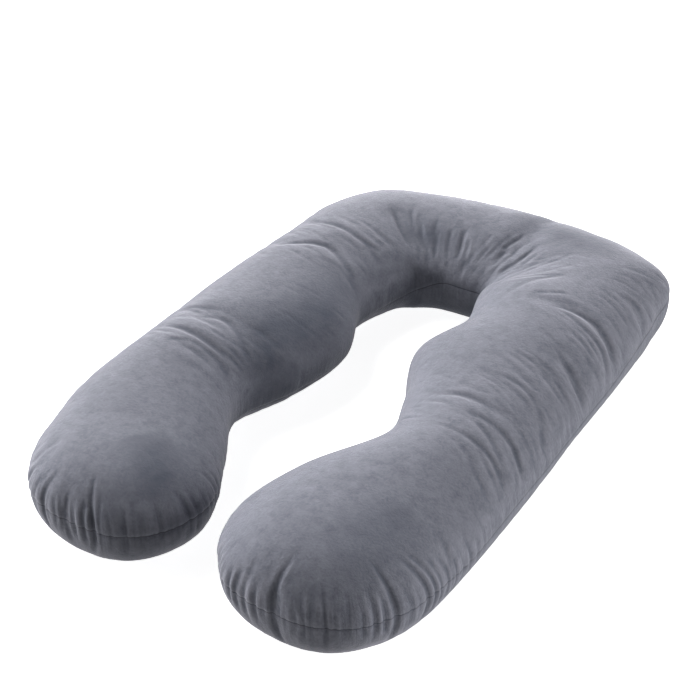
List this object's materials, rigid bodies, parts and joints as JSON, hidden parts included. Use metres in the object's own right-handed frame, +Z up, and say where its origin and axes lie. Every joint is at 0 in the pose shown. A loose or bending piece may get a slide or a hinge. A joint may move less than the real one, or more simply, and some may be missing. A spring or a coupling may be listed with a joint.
{
  "type": "pregnancy pillow",
  "caption": "U-shaped full-body pregnancy pillow with a plush velvet cover, lying flat, its arms swelling at the belly and at the round feet.",
  "frame": {"origin": "on the surface that the pillow lies on, under the middle of its plan", "axes": "+Y towards the closed arch, +X towards the right arm as seen from above with the arch at the far end, +Z up"},
  "size_m": [0.8, 1.2132, 0.1876],
  "materials": {
    "velvet": "short-pile velvet"
  },
  "bodies": {
    "root": {"pillow": "velvet"}
  },
  "joints": []
}
